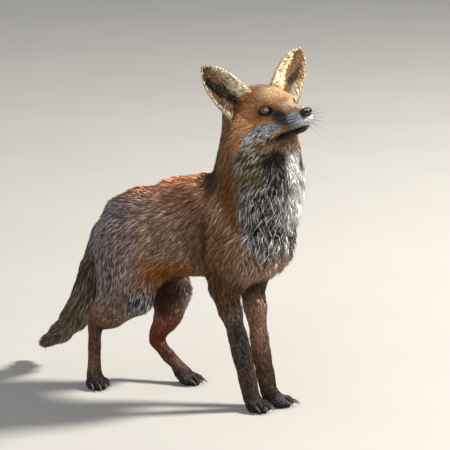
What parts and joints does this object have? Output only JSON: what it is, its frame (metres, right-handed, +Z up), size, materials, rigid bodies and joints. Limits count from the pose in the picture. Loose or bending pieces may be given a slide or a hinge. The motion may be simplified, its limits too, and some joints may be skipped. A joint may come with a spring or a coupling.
{
  "type": "red fox",
  "caption": "Life-size standing red fox with raised, slightly tipped-back head, upright ears, hanging brush and staggered legs, as a still display model.",
  "frame": {"origin": "the middle of the whole fox's bounding box, on the floor that its soles stand on", "axes": "+X towards the nose, +Y towards the fox's left side, +Z up"},
  "size_m": [0.6368, 0.1922, 0.5827],
  "materials": {
    "coat": "long soft fur in rust, tan, grey and white",
    "dark_coat": "short dark fur of the feet",
    "ear": "short fur, pale rim and fringes in front, black behind",
    "nose_leather": "damp pebbled black skin",
    "eye": "clear wet surface over an amber iris with an upright slit pupil",
    "claw": "semi-gloss horn"
  },
  "bodies": {
    "root": {"trunk": "coat", "neck": "coat", "tail": "coat", "head": "coat", "nose": "nose_leather", "eye_right": "eye", "ear_right": "ear", "eye_left": "eye", "ear_left": "ear", "foreleg_right": "coat", "forepaw_right": "dark_coat", "foreclaw_right_1": "claw", "foreclaw_right_2": "claw", "foreclaw_right_3": "claw", "foreclaw_right_4": "claw", "foreleg_left": "coat", "forepaw_left": "dark_coat", "foreclaw_left_1": "claw", "foreclaw_left_2": "claw", "foreclaw_left_3": "claw", "foreclaw_left_4": "claw", "hindleg_right": "coat", "hindpaw_right": "dark_coat", "hindclaw_right_1": "claw", "hindclaw_right_2": "claw", "hindclaw_right_3": "claw", "hindclaw_right_4": "claw", "hindleg_left": "coat", "hindpaw_left": "dark_coat", "hindclaw_left_1": "claw", "hindclaw_left_2": "claw", "hindclaw_left_3": "claw", "hindclaw_left_4": "claw"}
  },
  "joints": []
}
